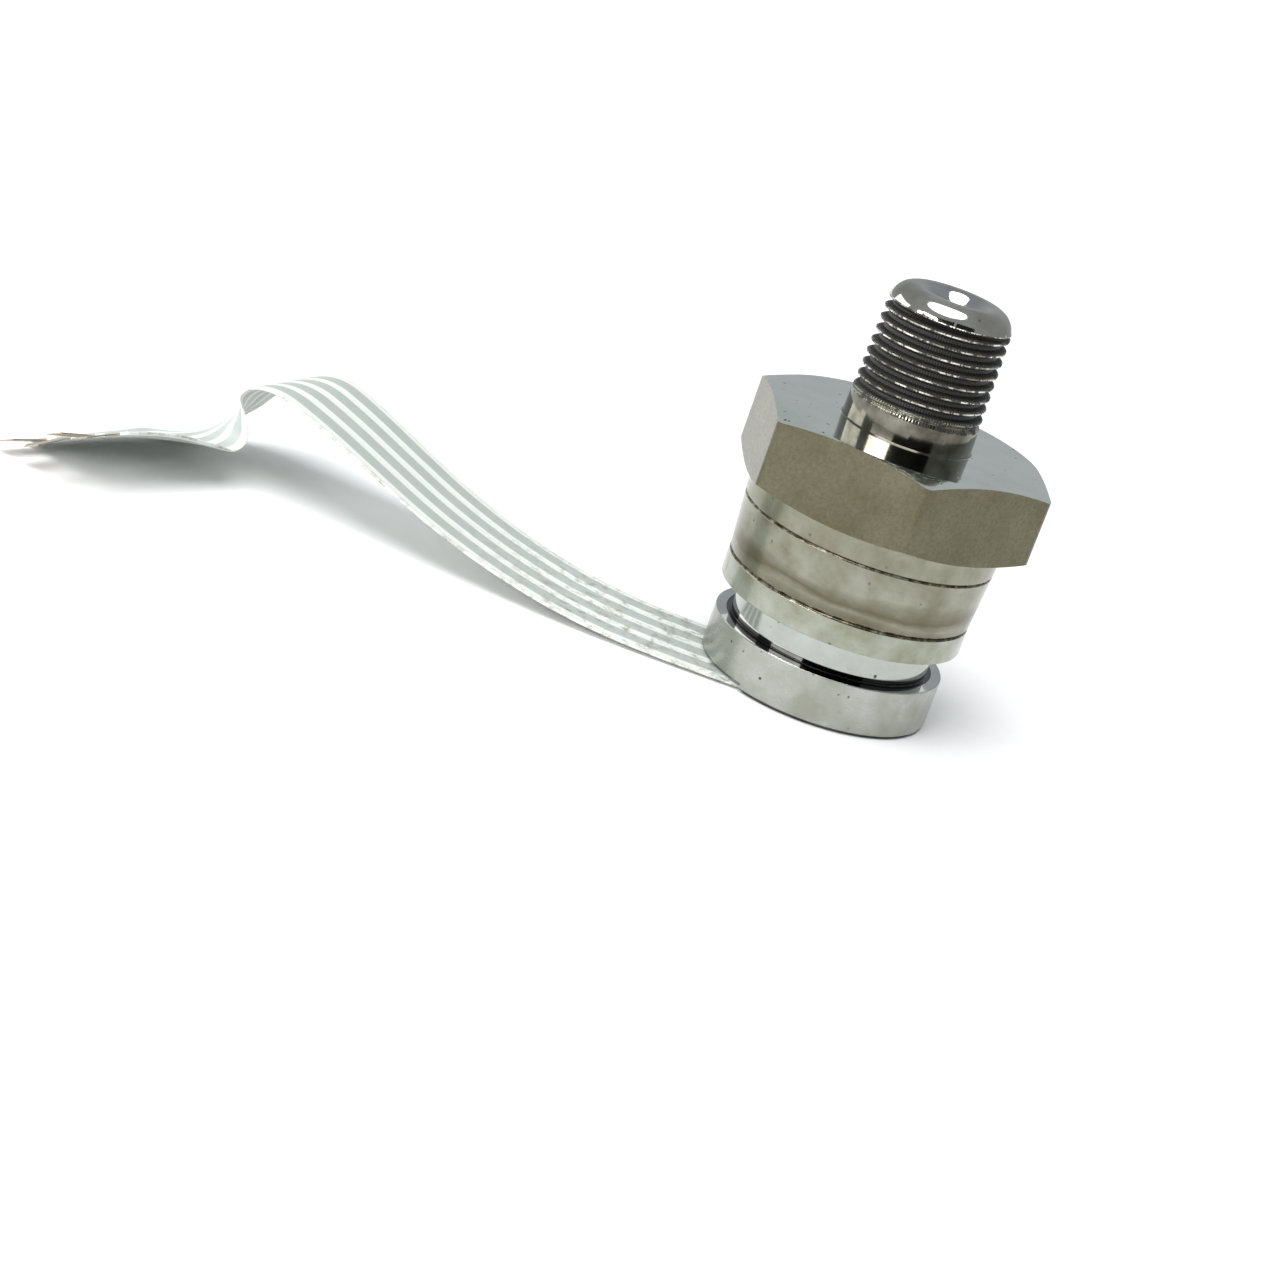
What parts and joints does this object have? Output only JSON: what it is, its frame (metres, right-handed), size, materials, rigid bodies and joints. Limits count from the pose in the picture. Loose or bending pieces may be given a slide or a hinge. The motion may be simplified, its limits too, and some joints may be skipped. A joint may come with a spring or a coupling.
{
  "type": "pressure transmitter",
  "caption": "Stainless pressure transmitter with a male taper-thread port, a hexagon, a welded sleeve, a grooved rear ring and a flat ribbon cable.",
  "frame": {"origin": "centre of the cell's rear rim, on the surface that the part stands on", "axes": "+Z along the axis from the rear rim to the pressure port, +X away from the side where the flat cable leaves"},
  "size_m": [0.0769, 0.0317, 0.0334],
  "materials": {
    "polished_steel": "turned and worn bright, with warm weld tint on the sleeve",
    "diaphragm_steel": "satin",
    "pin_gold": "satin plating",
    "seal_glass": "gloss",
    "ceramic": "fired alumina, matte",
    "silicon": "gloss",
    "spacer_plastic": "matte",
    "resistor_body": "matte",
    "solder": "satin",
    "white_film": "satin white film with grey conductors under it",
    "conductor": "dull tinned copper"
  },
  "bodies": {
    "root": {"process_fitting": "polished_steel", "weld_sleeve": "polished_steel", "cell_housing": "polished_steel", "isolation_diaphragm": "diaphragm_steel", "diaphragm_ring": "diaphragm_steel", "header_disc": "diaphragm_steel", "header_pins": "pin_gold", "glass_seals": "seal_glass", "oil_filler": "ceramic", "die_pedestal": "seal_glass", "sensor_die": "silicon", "vent_tube": "diaphragm_steel", "fill_ball": "diaphragm_steel", "compensation_board": "ceramic", "board_spacer": "spacer_plastic", "chip_resistors": "resistor_body", "pin_solder": "solder", "cable_film": "white_film", "cable_tips": "conductor", "cable_leads": "conductor", "cable_solder": "solder"}
  },
  "joints": []
}
